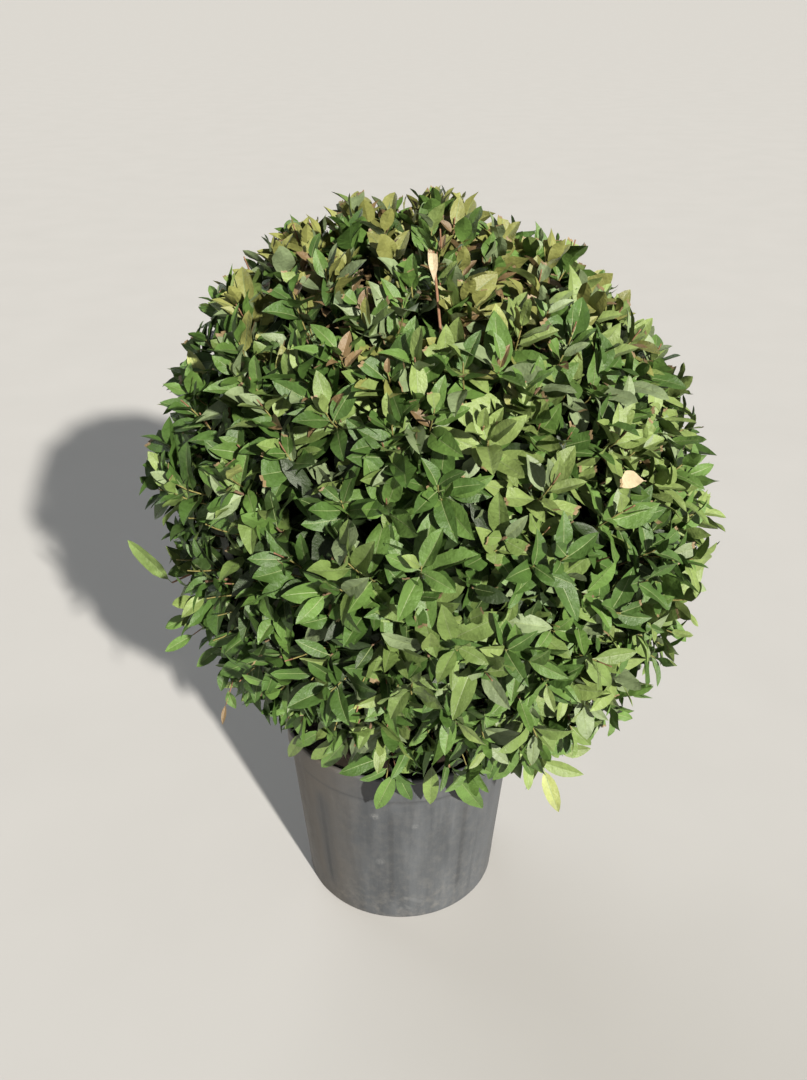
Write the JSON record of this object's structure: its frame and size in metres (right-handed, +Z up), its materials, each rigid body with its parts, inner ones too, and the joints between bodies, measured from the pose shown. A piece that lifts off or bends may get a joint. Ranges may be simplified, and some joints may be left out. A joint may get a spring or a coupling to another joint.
{
  "type": "potted bay ball topiary",
  "caption": "Evergreen bay shrub clipped to a ball on a short hidden stem, its lowest leaves hanging over the rim of a plain dark grey nursery pot.",
  "frame": {"origin": "middle of the pot's flat underside, on the floor", "axes": "+Z up, +X to the right and +Y away when the plant is seen from the front"},
  "size_m": [0.9363, 0.8862, 1.2359],
  "materials": {
    "pot_plastic": "dusty dark grey moulded plastic",
    "soil": "damp crumbly growing mix",
    "bark": "smooth grey brown bark",
    "leaves": "leathery glossy leaf"
  },
  "bodies": {
    "root": {"pot": "pot_plastic", "potting_soil": "soil", "trunk": "bark", "bough_leader": "bark", "bough_front": "bark", "bough_right": "bark", "bough_back": "bark", "bough_left": "bark", "foliage": "leaves"}
  },
  "joints": []
}
